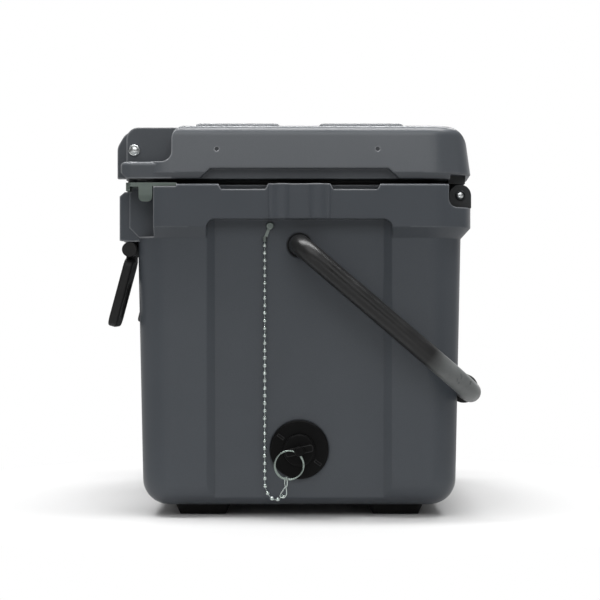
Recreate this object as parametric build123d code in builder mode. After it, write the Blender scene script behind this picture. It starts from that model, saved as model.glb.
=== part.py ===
from build123d import *
import math
import os

# Hard cooler with a hinged lid, two rubber T-latches, a bail handle and a tethered drain plug.
# Millimetres. X runs along the cooler, the latches face -Y, the hinges face +Y, +Z is up.
# The origin is on the ground under the middle of the tub.

os.makedirs("parts", exist_ok=True)

# Tub
rim_length = 440.0
rim_depth = 350.0
rim_top = 335.5
rim_height = 43.0
rim_slope_height = 11.0
rim_overhang = 10.0
rim_corner = 46.0
rim_edge_radius = 2.0
wall_draft = 1.2
tub_edge_radius = 26.0
skin = 4.5
floor_skin = 9.0
basin_length = 340.0
basin_depth = 250.0
basin_corner = 24.0
basin_draft = 1.5
basin_floor = 54.0
basin_floor_radius = 12.0
foam_drop = 40.0
foam_corner = 45.0
fill_hole_radius = 8.0

# Recessed panels of the tub
panel_width = 170.0
panel_depth = 6.0
panel_bevel = 8.0
panel_lip_drop = 35.0
panel_corner = 9.0
side_panel_end = 35.0
side_panel_depth = 5.5
side_panel_bevel = 2.0

# Rim details
boss_width = 62.0
boss_proud = 2.0
boss_rib_radius = 9.5
boss_rib_spacing = 36.0
boss_rib_proud = 6.0
boss_corner = 3.0
notch_gap = 50.0
notch_drop = 5.5
notch_slope = 3.0
notch_reach = 20.0

# Feet
foot_height = 11.0
foot_length = 50.0
foot_width = 57.0
foot_corner = 8.0
foot_taper = 25.0
foot_inset_x = 2.5
foot_inset_y = 6.0
foot_screw_head_radius = 5.0
foot_screw_head_height = 3.0
foot_screw_sink = 3.0
foot_screw_radius = 2.5
foot_screw_grip = 8.0

# Lid
lid_gap = 5.5
lid_height = 54.0
lid_length = 438.0
lid_depth = 350.0
lid_corner = 45.0
lid_draft = 8.0
lid_bevel_height = 6.0
lid_bevel = 4.0
lid_edge_radius = 12.0
lid_back_radius = 26.0
lid_plug_depth = 12.0
lid_plug_gap = 4.0
lid_foam_end = 14.0
lid_foam_side = 28.0
lid_foam_corner = 30.0
pad_inner = 20.0
pad_outer = 106.0
pad_end = 30.0
pad_height = 4.0
pad_radius = 6.0
pad_edge = 3.5
lift_width = 178.0
lift_slope = 11.0
lift_height = 10.0
lift_reach = 10.0
vent_spacing = 161.0
vent_shift = -2.1
vent_radius = 2.1
vent_sink = 0.6
vent_above_base = 29.5
gasket_width = 10.0
gasket_inset = 3.0
gasket_corner_ease = 6.0
gasket_squeeze = 0.3

# Front corners of the lid, over the lock plates
corner_notch_x = 36.0
corner_notch_y = 47.0
corner_notch_radius = 10.0
corner_block_radius = 14.0
flange_height = 17.0
flange_front = 4.5
flange_end = 4.0
flange_nose = 4.0
flange_chamfer = 6.5
flange_corner = 12.0

# Hinges
hinge_from_end = 30.0
hinge_length = 62.0
hinge_pin_drop = 10.0
hinge_pin_inset = 11.7
hinge_pin_radius = 3.2
hinge_head_radius = 5.1
hinge_head_height = 2.0
hinge_knuckle_radius = 11.0
hinge_knuckle_length = 15.0
hinge_leaf_radius = 9.0
hinge_side_gap = 1.0
hinge_notch_inset = 25.3
hinge_notch_drop = 22.8
hinge_notch_radius = 8.0
hinge_floor_plate = 2.8
hinge_block_gap = 2.6
hinge_leaf_block = 16.8
hinge_leaf_gap = 0.7
hinge_leaf_sink = 4.3
hinge_back_gap = 0.6
hinge_screw_radius = 2.0
hinge_screw_head_radius = 3.6
hinge_screw_head_height = 2.4
hinge_screw_sink = 0.6
hinge_screw_grip = 9.0
pin_clearance = 0.15
socket_share = 0.5
socket_depth_share = 0.55

# Latches
latch_from_end = 62.0
latch_pin_height = 30.7
latch_pin_inset = 7.0
latch_pin_radius = 3.4
latch_pin_margin = 3.0
latch_head_radius = 5.9
latch_head_height = 2.4
latch_eye_radius = 9.5
latch_strap_width = 26.0
latch_strap_thickness = 7.0
latch_strap_gap = 1.5
latch_channel_depth = 8.0
latch_heel_drop = 1.0
latch_slot_gap = 1.5
latch_slot_depth = 13.0
latch_cheek_front = 1.0
latch_cheek_radius = 12.0
latch_guard_width = 13.5
latch_guard_front = 14.5
latch_guard_radius = 14.0
latch_guard_gap = 1.5
latch_guard_lift = 5.0
latch_bar_radius = 7.5
latch_bar_length = 60.0
latch_bar_drop = 10.7
latch_bar_wall_gap = 0.5
latch_bar_gap = 0.4
latch_tab_width = 54.0
latch_tab_length = 72.0
latch_tab_thickness = 9.5
latch_tab_tilt = 15.0
latch_tab_corner = 10.0
latch_tab_edge = 2.5
latch_neck_drop = 8.8
latch_neck_length = 13.2
latch_strap_taper = 19.0
latch_hole_width = 30.0
latch_hole_length = 38.0
latch_hole_drop = 42.5
latch_hole_corner = 9.0
keeper_width = 16.0
keeper_front = 7.5
keeper_shoulder_drop = 11.0
keeper_top_drop = 4.5

# Lock plates
plate_end = 5.0
plate_width = 40.0
plate_front = 1.0
plate_length = 51.0
plate_thickness = 4.0
plate_sink = 2.5
plate_corner = 6.0
plate_lip = 4.0
plate_lip_drop = 4.0
tongue_width = 14.0
tongue_from_front = 13.0
tongue_drop = 15.0
tongue_thickness = 3.0
tongue_radius = 5.0
lock_recess_depth = 30.5
lock_recess_length = 29.0
lock_recess_above_slope = 2.0
lock_hole_radius = 4.0
lock_hole_from_end = 10.5
lock_hole_from_front = 8.5
plate_screw_radius = 2.5
plate_screw_head_radius = 4.5
plate_screw_head_height = 2.5
plate_screw_grip = 9.0
plate_screw_from_back = 12.0

# Bail handle
bail_drop_below_rim = 61.0
bail_tube_radius = 10.4
bail_tube_wall = 2.0
bail_arm_gap = 1.6
bail_drop = 148.2
bail_wall_gap = 1.7
bail_pivot_bend = 21.0
bail_elbow_bend = 45.0
bail_engagement = 15.0
grip_radius = 15.3
grip_end_gap = 3.0
grip_edge = 3.0
bushing_wall = 1.8
bushing_depth = 18.0
bushing_proud = 2.0
bushing_clearance = 0.3

# Drain
drain_height = 68.7
drain_tube_radius = 13.0
drain_bore_radius = 9.5
drain_flange_radius = 29.6
drain_flange_thickness = 5.0
drain_flange_edge = 1.5
drain_seal_thickness = 1.5
drain_seat_sink = 0.6
drain_rib_length = 8.0
drain_rib_width = 3.0
drain_rib_height = 1.2
drain_rib_angle = 145.0
plug_cap_radius = 16.0
plug_cap_thickness = 6.0
plug_cap_edge = 1.5
plug_bar_length = 28.0
plug_bar_width = 7.0
plug_bar_height = 6.5
plug_bar_corner = 2.3
plug_bar_tilt = 12.6
plug_shank_length = 24.0
plug_thread_clearance = 0.3
plug_seal_thickness = 1.2
plug_seal_gap = 0.2
plug_hollow_radius = 6.0
plug_hollow_depth = 16.0

# Swivel, ring and clip on the plug
swivel_radius = 5.0
swivel_height = 7.0
swivel_edge = 1.8
swivel_stem_radius = 2.5
swivel_foot_radius = 4.5
swivel_foot_thickness = 3.0
swivel_clearance = 0.3
ring_radius = 14.3
ring_wire_radius = 0.9
ring_offset = 2.8
ring_hang_angle = 233.8
ring_hole_radius = 1.6
clip_length = 10.4
clip_width = 4.6
clip_wire = 1.2
clip_shift = 3.2
clip_collar_radius = 2.3
clip_collar_length = 5.0
clip_stem_radius = 0.7
clip_clearance = 0.15

# Chain
chain_radius = 1.85
chain_bend_share = 0.45
chain_screw_y = -29.4
chain_screw_drop = 41.5
chain_screw_head_radius = 3.8
chain_screw_head_height = 2.2
chain_screw_radius = 1.6
chain_screw_grip = 4.0
chain_tag_thickness = 1.6
chain_arm_lift = 0.6
chain_tag_radius = 3.6
chain_tag_arm = 3.0
chain_cup_radius = 2.1
chain_cup_length = 5.0
chain_seat_sink = 0.3

# Levels and half sizes worked out from the sizes above
half_length = rim_length / 2
half_depth = rim_depth / 2
slope_top_z = rim_top - rim_height
wall_top_z = slope_top_z - rim_slope_height
wall_half_length = half_length - rim_overhang
wall_half_depth = half_depth - rim_overhang
wall_corner = rim_corner - rim_overhang
wall_lean = math.tan(math.radians(wall_draft))
panel_top_z = rim_top - panel_lip_drop
lid_base_z = rim_top + lid_gap
lid_waist_z = lid_base_z + lid_bevel_height
lid_top_z = lid_base_z + lid_height
foam_top_z = rim_top - foam_drop
foam_base_z = foot_height + floor_skin
sides = (1, -1)


def wall_x(z):
    """Half length of the tub's wall at a height."""
    return wall_half_length - (wall_top_z - z) * wall_lean


def wall_y(z):
    """Half depth of the tub's wall at a height."""
    return wall_half_depth - (wall_top_z - z) * wall_lean


def panel_x(z):
    """Place of the recessed end panel at a height."""
    return wall_x(z) - panel_depth


def facing(x, y, z, direction):
    """Plane at a point, looking along a direction."""
    return Plane(origin=(x, y, z), z_dir=direction)


def across(x):
    """Plane square to the cooler's length, with Y and Z as its own axes."""
    return Plane.YZ.offset(x)


def drill(plane, radius, depth):
    """Blind round hole into the piece being made, against the plane's direction."""
    with BuildSketch(plane) as outline:
        Circle(radius)
    extrude(outline.sketch, amount=-depth, mode=Mode.SUBTRACT)


def rod(plane, radius, length):
    """Round bar on the piece being made, along the plane's direction."""
    with BuildSketch(plane) as outline:
        Circle(radius)
    extrude(outline.sketch, amount=length)


def screw(plane, head_radius, head_height, shank_radius, shank_length):
    """Screw with its head seated on a plane and its shank going in."""
    rod(plane, head_radius, head_height)
    rod(plane, shank_radius, -shank_length)


def socket(plane, head_radius, head_height):
    """Hexagon socket in a screw's head that is seated on a plane."""
    with BuildSketch(plane.offset(head_height)) as outline:
        RegularPolygon(socket_share * head_radius, 6)
    extrude(outline.sketch, amount=-socket_depth_share * head_height, mode=Mode.SUBTRACT)


def save(piece, name):
    """Label a finished piece and write it."""
    piece.part.label = name
    export_step(piece.part, f"parts/{name}.step")


def mirrored(piece):
    """The same piece for the other end of the cooler."""
    with BuildPart() as other:
        mirror(piece.part, about=Plane.YZ)
    return other


# Hinge, latch and lock positions, at the +X end
hinge_x1 = half_length - hinge_from_end
hinge_x0 = hinge_x1 - hinge_length
hinge_y = half_depth - hinge_pin_inset
hinge_z = rim_top - hinge_pin_drop
hinge_notch_y = half_depth - hinge_notch_inset
hinge_notch_z = rim_top - hinge_notch_drop
hinge_block_y = hinge_notch_y + hinge_block_gap
hinge_back_y = half_depth - hinge_back_gap
hinge_screw_z = (hinge_notch_z + hinge_z - hinge_pin_radius) / 2
hinge_screw_xs = (hinge_x0 + hinge_knuckle_length / 2, hinge_x1 - hinge_knuckle_length / 2)
leaf_base_z = hinge_z + hinge_knuckle_radius + hinge_leaf_gap
leaf_top_z = lid_base_z + hinge_leaf_sink
leaf_y0 = hinge_y - hinge_knuckle_radius - hinge_side_gap
leaf_y1 = leaf_y0 + hinge_leaf_block
leaf_screw_y = (leaf_y0 + leaf_y1) / 2
leaf_screw_z = leaf_base_z + hinge_screw_head_height + hinge_screw_sink
base_screw_y = hinge_back_y - hinge_screw_head_height - hinge_screw_sink

latch_x = half_length - latch_from_end
latch_pin_y = -(half_depth - latch_pin_inset)
latch_pin_z = lid_base_z + latch_pin_height
latch_slot_half = latch_strap_width / 2 + latch_slot_gap
latch_slot_y = latch_pin_y + latch_slot_depth
cheek_x1 = half_length - corner_notch_x
cheek_x0 = latch_x + latch_slot_half
guard_x1 = latch_x - latch_slot_half
guard_x0 = guard_x1 - latch_guard_width
bar_z = wall_top_z - latch_bar_drop
bar_y = -(wall_y(bar_z) + latch_bar_radius + latch_bar_wall_gap)
bar_swing = math.hypot(bar_y - latch_pin_y, bar_z - latch_pin_z)
keeper_swing = bar_swing - latch_bar_radius - latch_bar_gap
corner_notch_edge = -(half_depth - corner_notch_y)
latch_pin_length = cheek_x1 - guard_x0 - latch_pin_margin
channel_y = -(half_depth - latch_channel_depth)
strap_y1 = channel_y - latch_strap_gap
strap_y0 = strap_y1 - latch_strap_thickness
heel_y = bar_y + latch_bar_radius
heel_z = wall_top_z - latch_heel_drop
flange_y0 = -(half_depth + flange_front)
flange_x1 = half_length - flange_end
lid_foam_z = lid_waist_z + skin
vent_z = lid_base_z + vent_above_base
vent_ys = (vent_shift + vent_spacing / 2, vent_shift - vent_spacing / 2)
lid_lean = math.tan(math.radians(lid_draft))
vent_x0 = lid_length / 2 - lid_foam_end - (vent_z - vent_radius - lid_foam_z) * lid_lean
vent_x1 = lid_length / 2 - (vent_z + vent_radius - lid_waist_z) * lid_lean - vent_sink

plate_x1 = half_length - plate_end
plate_x0 = plate_x1 - plate_width
plate_y0 = -(half_depth - plate_front)
plate_y1 = plate_y0 + plate_length
plate_base_z = rim_top - plate_sink
plate_top_z = plate_base_z + plate_thickness
lock_face_x = half_length - lock_recess_depth
lock_recess_y = -(half_depth - lock_recess_length)
lock_hole_x = half_length - lock_hole_from_end
lock_hole_y = plate_y0 + lock_hole_from_front
plate_screw_x = (plate_x0 + lock_face_x) / 2
plate_screw_y = plate_y1 - plate_screw_from_back

# Bail and drain positions
bail_z = rim_top - bail_drop_below_rim
bail_bar_z = bail_z - bail_drop
bail_arm_x = half_length + boss_rib_proud + bail_arm_gap + bail_tube_radius
bail_bar_y = wall_y(bail_bar_z) - side_panel_depth + grip_radius + bail_wall_gap
bail_reach = math.hypot(bail_bar_y, bail_bar_z - bail_z)
guard_reach = bail_reach - bail_tube_radius - latch_guard_gap
bushing_radius = bail_tube_radius + bushing_clearance + bushing_wall
bushing_seat_x = panel_x(bail_z - bushing_radius)
bushing_floor_x = bushing_seat_x - bushing_depth
side_panel_half = wall_half_length - side_panel_end
grip_half = guard_x0 - grip_end_gap
drain_seat_x = panel_x(drain_height - drain_flange_radius) - drain_seat_sink
flange_base_x = drain_seat_x + drain_seal_thickness
flange_top_x = flange_base_x + drain_flange_thickness
basin_wall_x = basin_length / 2 - (rim_top - drain_height) * math.tan(math.radians(basin_draft))
cap_base_x = flange_top_x + plug_seal_thickness
cap_top_x = cap_base_x + plug_cap_thickness
bar_top_x = cap_top_x + plug_bar_height
swivel_base_x = bar_top_x + swivel_clearance
ring_x = swivel_base_x + swivel_height / 2
shank_end_x = cap_base_x - plug_shank_length
hollow_floor_x = shank_end_x + plug_hollow_depth
chain_screw_z = rim_top - chain_screw_drop
chain_seat_x = panel_x(chain_screw_z - chain_tag_radius) - chain_seat_sink

# Foot positions
foot_x = wall_x(foot_height) - tub_edge_radius - foot_inset_x - foot_length / 2
foot_y = wall_y(foot_height) - tub_edge_radius - foot_inset_y - foot_width / 2
foot_screw_z = foot_screw_head_height + foot_screw_sink


def panel_cutter(floor, half_width, depth, bevel, top_z, corner):
    """Block that sinks a bevelled panel into the wall that faces +X, leaning with the wall."""
    reach = depth + half_depth
    lean = math.radians(wall_draft)
    with BuildPart() as cutter:
        with BuildSketch(Plane.XY.offset(top_z)):
            Polygon(
                (floor, half_width),
                (floor, -half_width),
                (floor + depth, -half_width - bevel),
                (floor + reach, -half_width - bevel),
                (floor + reach, half_width + bevel),
                (floor + depth, half_width + bevel),
                align=None,
            )
        extrude(amount=top_z, dir=(-math.sin(lean), 0, -math.cos(lean)))
        top_edges = cutter.faces().sort_by(Axis.Z)[-1].edges()
        fillet(top_edges.group_by(Axis.Y)[0] + top_edges.group_by(Axis.Y)[-1], corner)
    return cutter.part


# Block of the storage space with its wall, and the space itself
with BuildPart() as liner_block:
    with BuildSketch(Plane.XY.offset(rim_top)):
        RectangleRounded(basin_length + 2 * skin, basin_depth + 2 * skin, basin_corner + skin)
    extrude(amount=-(rim_top - basin_floor + skin), taper=basin_draft)

with BuildPart() as basin:
    with BuildSketch(Plane.XY.offset(rim_top)):
        RectangleRounded(basin_length, basin_depth, basin_corner)
    extrude(amount=-(rim_top - basin_floor), taper=basin_draft)
    fillet(basin.faces().sort_by(Axis.Z)[0].edges(), basin_floor_radius)

# Foam between the tub's outer and inner walls
with BuildPart() as tub_foam:
    with BuildSketch(Plane.XY.offset(wall_top_z)) as foam_outline:
        RectangleRounded(
            2 * (wall_half_length - panel_depth - skin),
            2 * (wall_half_depth - side_panel_depth - skin),
            foam_corner,
        )
    extrude(amount=-(wall_top_z - foam_base_z), taper=wall_draft)
    fillet(tub_foam.faces().sort_by(Axis.Z)[0].edges(), tub_edge_radius - skin)
    extrude(foam_outline.sketch, amount=foam_top_z - wall_top_z)
    add(liner_block.part, mode=Mode.SUBTRACT)
    for side in sides:
        pocket = facing(side * (bushing_floor_x - skin), 0, bail_z, (-side, 0, 0))
        drill(pocket, bushing_radius + skin, half_length)
    drill(facing(half_length, 0, drain_height, (1, 0, 0)), drain_tube_radius, half_length)
save(tub_foam, "tub_foam")

end_panel = panel_cutter(
    panel_x(panel_top_z), panel_width / 2, panel_depth, panel_bevel, panel_top_z, panel_corner
)
side_panel = panel_cutter(
    wall_half_depth - side_panel_depth, side_panel_half, side_panel_depth, side_panel_bevel, wall_top_z,
    side_panel_bevel,
)

# Outer wall of the tub with its rim, panels and keepers
with BuildPart() as tub_shell:
    with BuildSketch(Plane.XY.offset(wall_top_z)):
        RectangleRounded(2 * wall_half_length, 2 * wall_half_depth, wall_corner)
    extrude(amount=-(wall_top_z - foot_height), taper=wall_draft)
    fillet(tub_shell.faces().sort_by(Axis.Z)[0].edges(), tub_edge_radius)
    with BuildSketch(Plane.XY.offset(slope_top_z)) as rim_outline:
        RectangleRounded(rim_length, rim_depth, rim_corner)
    extrude(amount=-rim_slope_height, taper=math.degrees(math.atan2(rim_overhang, rim_slope_height)))
    extrude(rim_outline.sketch, amount=rim_height)
    fillet(tub_shell.faces().sort_by(Axis.Z)[-1].edges(), rim_edge_radius)
    for turn in (0, 180):
        add(end_panel, rotation=(0, 0, turn), mode=Mode.SUBTRACT)
        add(side_panel, rotation=(0, 0, turn + 90), mode=Mode.SUBTRACT)

    # Ribbed boss in the middle of each end of the rim, with a finger notch on either side
    rib_x = half_length + boss_rib_proud - boss_rib_radius
    boss_x = half_length + boss_proud - notch_reach / 2
    for side in sides:
        with BuildSketch(Plane.XY.offset(panel_top_z)) as boss:
            with Locations((side * boss_x, 0)):
                Rectangle(notch_reach, boss_width)
            with Locations((side * rib_x, boss_rib_spacing / 2), (side * rib_x, -boss_rib_spacing / 2)):
                Circle(boss_rib_radius)
            boss_front = Axis((0, 0, 0), (-side, 0, 0))
            fillet(boss.vertices().sort_by(boss_front)[:6], boss_corner)
        extrude(amount=panel_lip_drop)
        with BuildSketch(across(side * (half_length - notch_reach))):
            for y_side in sides:
                Polygon(
                    (y_side * boss_width / 2, rim_top),
                    (y_side * (boss_width / 2 + notch_slope), rim_top - notch_drop),
                    (y_side * (boss_width / 2 + notch_gap - notch_slope), rim_top - notch_drop),
                    (y_side * (boss_width / 2 + notch_gap), rim_top),
                    align=None,
                )
        extrude(amount=side * 2 * notch_reach, mode=Mode.SUBTRACT)

    # Notch at each rear corner for the hinge, open towards the back and the end
    for side in sides:
        with BuildSketch(across(side * (hinge_x0 - hinge_side_gap))) as hinge_notch:
            Polygon(
                (hinge_notch_y, hinge_notch_z),
                (half_depth + rim_overhang, hinge_notch_z),
                (half_depth + rim_overhang, lid_base_z),
                (hinge_notch_y, lid_base_z),
                align=None,
            )
            fillet(hinge_notch.vertices().sort_by(Axis.X)[:2].sort_by(Axis.Y)[0], hinge_notch_radius)
        extrude(amount=side * half_length, mode=Mode.SUBTRACT)

    # Keepers that the latch bars hook under, cut round the latch pins
    for side in sides:
        for lug_x in (latch_x + latch_slot_half, latch_x - latch_slot_half - keeper_width):
            with BuildSketch(across(side * lug_x)):
                Polygon(
                    (-wall_half_depth + skin, bar_z),
                    (-half_depth - keeper_front, bar_z),
                    (-half_depth - keeper_front, rim_top - keeper_shoulder_drop),
                    (-half_depth, rim_top - keeper_top_drop),
                    (-wall_half_depth + skin, rim_top - keeper_top_drop),
                    align=None,
                )
                with Locations((latch_pin_y, latch_pin_z)):
                    Circle(keeper_swing, mode=Mode.INTERSECT)
            extrude(amount=side * keeper_width)

    # Channel down the rim's front for each latch's strap
    for side in sides:
        with BuildSketch(across(side * (latch_x - latch_slot_half))):
            with Locations((channel_y, wall_top_z)):
                Rectangle(half_depth, rim_top, align=(Align.MAX, Align.MIN))
        extrude(amount=side * 2 * latch_slot_half, mode=Mode.SUBTRACT)

    # Corner recess and seat for each lock plate
    for side in sides:
        with BuildSketch(Plane.XY.offset(wall_top_z + lock_recess_above_slope)):
            with Locations((side * (lock_face_x + half_length / 2), lock_recess_y - half_depth / 2)):
                Rectangle(half_length, half_depth)
        extrude(amount=rim_top, mode=Mode.SUBTRACT)
        with BuildSketch(Plane.XY.offset(plate_base_z)):
            with Locations((side * (plate_x0 + half_length / 2), plate_y1 - half_depth / 2)):
                Rectangle(half_length, half_depth)
        extrude(amount=rim_top, mode=Mode.SUBTRACT)
        with BuildSketch(Plane.XY.offset(plate_base_z - plate_lip_drop)):
            with Locations((side * (plate_x0 + half_length / 2), plate_y0 + plate_lip - half_depth / 2)):
                Rectangle(half_length, half_depth)
        extrude(amount=rim_top, mode=Mode.SUBTRACT)

    # Space for the inner wall and the foam, and the foam's filling hole
    add(liner_block.part, mode=Mode.SUBTRACT)
    add(tub_foam.part, mode=Mode.SUBTRACT)
    drill(facing(0, 0, foot_height, (0, 0, -1)), fill_hole_radius, floor_skin)

    # Holes for the bail, the drain and the screws
    for side in sides:
        pivot = facing(side * half_length, 0, bail_z, (side, 0, 0))
        drill(pivot, bushing_radius, half_length - bushing_floor_x)
        lock_screw = facing(side * plate_screw_x, plate_screw_y, plate_base_z, (0, 0, 1))
        drill(lock_screw, plate_screw_radius, plate_screw_grip)
        for x in hinge_screw_xs:
            hinge_screw = facing(side * x, hinge_back_y, hinge_screw_z, (0, 1, 0))
            drill(hinge_screw, hinge_screw_radius, hinge_back_y - hinge_notch_y + hinge_screw_grip)
        for y_side in sides:
            foot_screw = facing(side * foot_x, y_side * foot_y, foot_height, (0, 0, -1))
            drill(foot_screw, foot_screw_radius, foot_screw_grip)
    drain_mouth = facing(half_length, 0, drain_height, (1, 0, 0))
    drill(drain_mouth, drain_flange_radius, half_length - drain_seat_x)
    drill(drain_mouth, drain_tube_radius, half_length - basin_wall_x + basin_floor_radius)
    chain_mouth = facing(half_length, chain_screw_y, chain_screw_z, (1, 0, 0))
    drill(chain_mouth, chain_tag_radius, half_length - chain_seat_x)
    drill(chain_mouth, chain_screw_radius, half_length - chain_seat_x + chain_screw_grip)
save(tub_shell, "tub_shell")

# Inner wall of the tub round the storage space
with BuildPart() as tub_liner:
    add(liner_block.part)
    add(basin.part, mode=Mode.SUBTRACT)
    drill(drain_mouth, drain_tube_radius, half_length - basin_wall_x + basin_floor_radius)
save(tub_liner, "tub_liner")

with BuildPart() as tub_fill_plug:
    rod(facing(0, 0, foot_height, (0, 0, 1)), fill_hole_radius, floor_skin)
save(tub_fill_plug, "tub_fill_plug")

# Rubber feet, each held by one sunk screw
for side, end_name in ((1, "right"), (-1, "left")):
    for y_side, face_name in ((1, "rear"), (-1, "front")):
        with BuildPart() as foot:
            with BuildSketch(Plane.XY.offset(foot_height)):
                with Locations((side * foot_x, y_side * foot_y)):
                    RectangleRounded(foot_length, foot_width, foot_corner)
            extrude(amount=-foot_height, taper=foot_taper)
            foot_hole = facing(side * foot_x, y_side * foot_y, 0, (0, 0, -1))
            drill(foot_hole, foot_screw_radius, foot_height)
            drill(foot_hole, foot_screw_head_radius, foot_screw_z)
        save(foot, f"foot_{face_name}_{end_name}")

with BuildPart() as foot_screws:
    for side in sides:
        for y_side in sides:
            seat = facing(side * foot_x, y_side * foot_y, foot_screw_z, (0, 0, -1))
            screw(
                seat, foot_screw_head_radius, foot_screw_head_height,
                foot_screw_radius, foot_height - foot_screw_z + foot_screw_grip,
            )
            socket(seat, foot_screw_head_radius, foot_screw_head_height)
save(foot_screws, "foot_screws")

# Hinge halves on the tub, their screws and the hinge pins
with BuildPart() as hinge_base_right:
    with BuildSketch(across(hinge_x0)):
        with Locations((hinge_notch_y + hinge_notch_radius, hinge_notch_z)):
            floor_width = hinge_back_y - hinge_notch_y - hinge_notch_radius
            Rectangle(floor_width, hinge_floor_plate, align=(Align.MIN, Align.MIN))
    extrude(amount=hinge_length)
    for knuckle_x in (hinge_x0, hinge_x1 - hinge_knuckle_length):
        with BuildSketch(across(knuckle_x)) as knuckle:
            with Locations((hinge_block_y, hinge_notch_z)):
                Rectangle(
                    hinge_back_y - hinge_block_y, hinge_z - hinge_notch_z, align=(Align.MIN, Align.MIN)
                )
            fillet(knuckle.vertices().sort_by(Axis.X)[:2].sort_by(Axis.Y)[0], hinge_notch_radius)
            with Locations((hinge_y, hinge_z)):
                Circle(hinge_knuckle_radius)
                Circle(hinge_pin_radius, mode=Mode.SUBTRACT)
        extrude(amount=hinge_knuckle_length)
    for x in hinge_screw_xs:
        back = facing(x, hinge_back_y, hinge_screw_z, (0, 1, 0))
        drill(back, hinge_screw_radius, half_depth)
        drill(back, hinge_screw_head_radius, hinge_back_y - base_screw_y)
save(hinge_base_right, "hinge_base_right")
save(mirrored(hinge_base_right), "hinge_base_left")

with BuildPart() as hinge_base_screws:
    for side in sides:
        for x in hinge_screw_xs:
            seat = facing(side * x, base_screw_y, hinge_screw_z, (0, 1, 0))
            screw(
                seat, hinge_screw_head_radius, hinge_screw_head_height,
                hinge_screw_radius, base_screw_y - hinge_notch_y + hinge_screw_grip,
            )
            socket(seat, hinge_screw_head_radius, hinge_screw_head_height)
save(hinge_base_screws, "hinge_base_screws")

with BuildPart() as hinge_pin_right:
    screw(
        facing(hinge_x1, hinge_y, hinge_z, (1, 0, 0)),
        hinge_head_radius, hinge_head_height, hinge_pin_radius, hinge_length,
    )
    fillet(hinge_pin_right.faces().sort_by(Axis.X)[-1].edges(), hinge_head_height / 2)
save(hinge_pin_right, "hinge_pin_right")
save(mirrored(hinge_pin_right), "hinge_pin_left")

# Hinge halves on the lid
with BuildPart() as hinge_leaf_right:
    with BuildSketch(across(hinge_x0)):
        with Locations((leaf_y0, leaf_base_z)):
            Rectangle(hinge_leaf_block, leaf_top_z - leaf_base_z, align=(Align.MIN, Align.MIN))
    extrude(amount=hinge_length)
    leaf_x0 = hinge_x0 + hinge_knuckle_length + hinge_side_gap
    with BuildSketch(across(leaf_x0)):
        with Locations((hinge_y, hinge_z)):
            Circle(hinge_leaf_radius)
            Rectangle(2 * hinge_leaf_radius, leaf_top_z - hinge_z, align=(Align.CENTER, Align.MIN))
            Circle(hinge_pin_radius + pin_clearance, mode=Mode.SUBTRACT)
        with Locations((leaf_y1, hinge_z)):
            Rectangle(hinge_leaf_radius, lid_height, align=(Align.MIN, Align.MIN), mode=Mode.SUBTRACT)
    extrude(amount=hinge_length - 2 * (hinge_knuckle_length + hinge_side_gap))
    for x in hinge_screw_xs:
        underside = facing(x, leaf_screw_y, leaf_base_z, (0, 0, -1))
        drill(underside, hinge_screw_radius, lid_height)
        drill(underside, hinge_screw_head_radius, leaf_screw_z - leaf_base_z)
save(hinge_leaf_right, "hinge_leaf_right")
save(mirrored(hinge_leaf_right), "hinge_leaf_left")

with BuildPart() as hinge_leaf_screws:
    for side in sides:
        for x in hinge_screw_xs:
            seat = facing(side * x, leaf_screw_y, leaf_screw_z, (0, 0, -1))
            screw(
                seat, hinge_screw_head_radius, hinge_screw_head_height,
                hinge_screw_radius, leaf_top_z - leaf_screw_z + hinge_screw_grip,
            )
            socket(seat, hinge_screw_head_radius, hinge_screw_head_height)
save(hinge_leaf_screws, "hinge_leaf_screws")

# Foam inside the lid, clear of the notched front corners
with BuildPart() as lid_foam:
    with BuildSketch(Plane.XY.offset(lid_foam_z)):
        RectangleRounded(lid_length - 2 * lid_foam_end, lid_depth - 2 * lid_foam_side, lid_foam_corner)
    extrude(amount=lid_top_z - skin - lid_foam_z, taper=lid_draft)
    with BuildSketch(Plane.XY.offset(lid_foam_z)):
        notch_middle_x = cheek_x1 - skin + half_length / 2
        notch_middle_y = corner_notch_edge + skin - half_depth / 2
        with Locations((notch_middle_x, notch_middle_y), (-notch_middle_x, notch_middle_y)):
            Rectangle(half_length, half_depth)
    extrude(amount=lid_height, mode=Mode.SUBTRACT)
save(lid_foam, "lid_foam")

# Padlock flange at each front corner of the lid
with BuildPart() as lid_flange:
    with BuildSketch(Plane.XY.offset(lid_base_z)) as flange_outline:
        Polygon(
            (cheek_x0, corner_notch_edge),
            (cheek_x0, flange_y0),
            (flange_x1, flange_y0),
            (flange_x1, corner_notch_edge),
            align=None,
        )
        fillet(flange_outline.vertices().group_by(Axis.X)[-1].sort_by(Axis.Y)[0], flange_corner)
    extrude(amount=flange_height)
    flange_top = lid_flange.faces().sort_by(Axis.Z)[-1].edges()
    fillet(flange_top.sort_by(Axis.Y)[0], flange_nose)
    with BuildSketch(across(0)):
        Polygon(
            (flange_y0, lid_base_z),
            (flange_y0 + flange_chamfer, lid_base_z),
            (flange_y0, lid_base_z + flange_chamfer),
            align=None,
        )
    extrude(amount=half_length, mode=Mode.SUBTRACT)

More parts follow.
